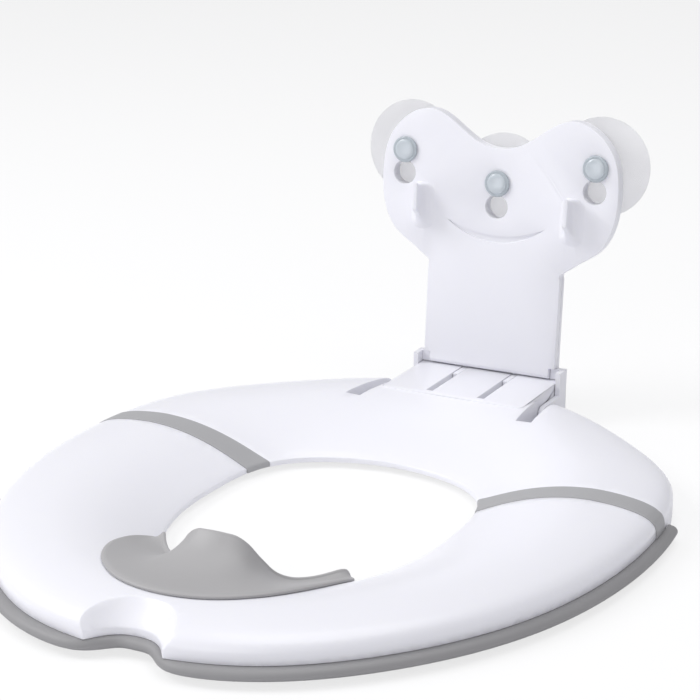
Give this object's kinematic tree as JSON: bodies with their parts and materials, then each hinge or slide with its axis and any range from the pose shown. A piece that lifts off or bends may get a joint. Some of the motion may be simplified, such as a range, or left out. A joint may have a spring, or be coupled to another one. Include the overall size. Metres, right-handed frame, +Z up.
{
  "type": "folding toilet training seat",
  "caption": "Folding toilet training seat: crowned ring hinged across the middle, grey lip, seam strips and wavy splash guard, and a hinged upright board with clear suction cups.",
  "frame": {"origin": "centre of the seat's footprint, on the surface that the grip pads rest on", "axes": "+Z up, -Y towards the front of the seat, where the finger notch is; the upright board is at the +Y end; X is the width"},
  "size_m": [0.3617, 0.4507, 0.1894],
  "materials": {
    "white_shell": "satin",
    "tray_plastic": "satin",
    "strip_rubber": "soft matt",
    "lip_rubber": "soft matt",
    "guard_rubber": "soft matt",
    "pad_rubber": "matt",
    "steel": "satin",
    "clear_cup": "clear"
  },
  "bodies": {
    "rear_seat": {"rear_cover": "white_shell", "rear_base": "tray_plastic", "rear_screw_1": "steel", "rear_screw_2": "steel", "rear_screw_3": "steel", "rear_screw_4": "steel", "pad_rear_left": "pad_rubber", "pad_rear_right": "pad_rubber", "pad_rear_middle": "pad_rubber", "board_pin": "steel", "fold_pin_left": "steel", "fold_pin_right": "steel"},
    "front_seat": {"front_cover": "white_shell", "front_base": "tray_plastic", "front_lip": "lip_rubber", "seam_strip_left": "strip_rubber", "seam_strip_right": "strip_rubber", "front_screw_1": "steel", "front_screw_2": "steel", "front_screw_3": "steel", "front_screw_4": "steel", "pad_side_left": "pad_rubber", "pad_side_right": "pad_rubber", "pad_front_left": "pad_rubber", "pad_front_right": "pad_rubber"},
    "board": {"board_front": "white_shell", "board_back": "white_shell", "board_screw_1": "steel", "board_screw_2": "steel", "board_screw_3": "steel", "board_screw_4": "steel"},
    "guard": {"splash_guard": "guard_rubber"},
    "cup_left": {"suction_cup_left": "clear_cup"},
    "cup_middle": {"suction_cup_middle": "clear_cup"},
    "cup_right": {"suction_cup_right": "clear_cup"}
  },
  "joints": [
    {"name": "front_fold", "type": "hinge", "parent": "rear_seat", "child": "front_seat", "pos_m": [0, 0.03895, 0.0035], "axis": [1, 0, 0], "range_deg": [0, 174]},
    {"name": "board_fold", "type": "hinge", "parent": "rear_seat", "child": "board", "pos_m": [0, 0.17694, 0.0122], "axis": [1, 0, 0], "range_deg": [0, 94]},
    {"name": "guard_lift", "type": "slide", "parent": "front_seat", "child": "guard", "axis": [0, 0, 1], "range_m": [0, 0.04]},
    {"name": "cup_left_slide", "type": "slide", "parent": "board", "child": "cup_left", "axis": [0, 0.0715, 0.9974], "range_m": [-0.0145, 0]},
    {"name": "cup_middle_slide", "type": "slide", "parent": "board", "child": "cup_middle", "axis": [0, 0.0715, 0.9974], "range_m": [-0.0145, 0]},
    {"name": "cup_right_slide", "type": "slide", "parent": "board", "child": "cup_right", "axis": [0, 0.0715, 0.9974], "range_m": [-0.0145, 0]}
  ]
}
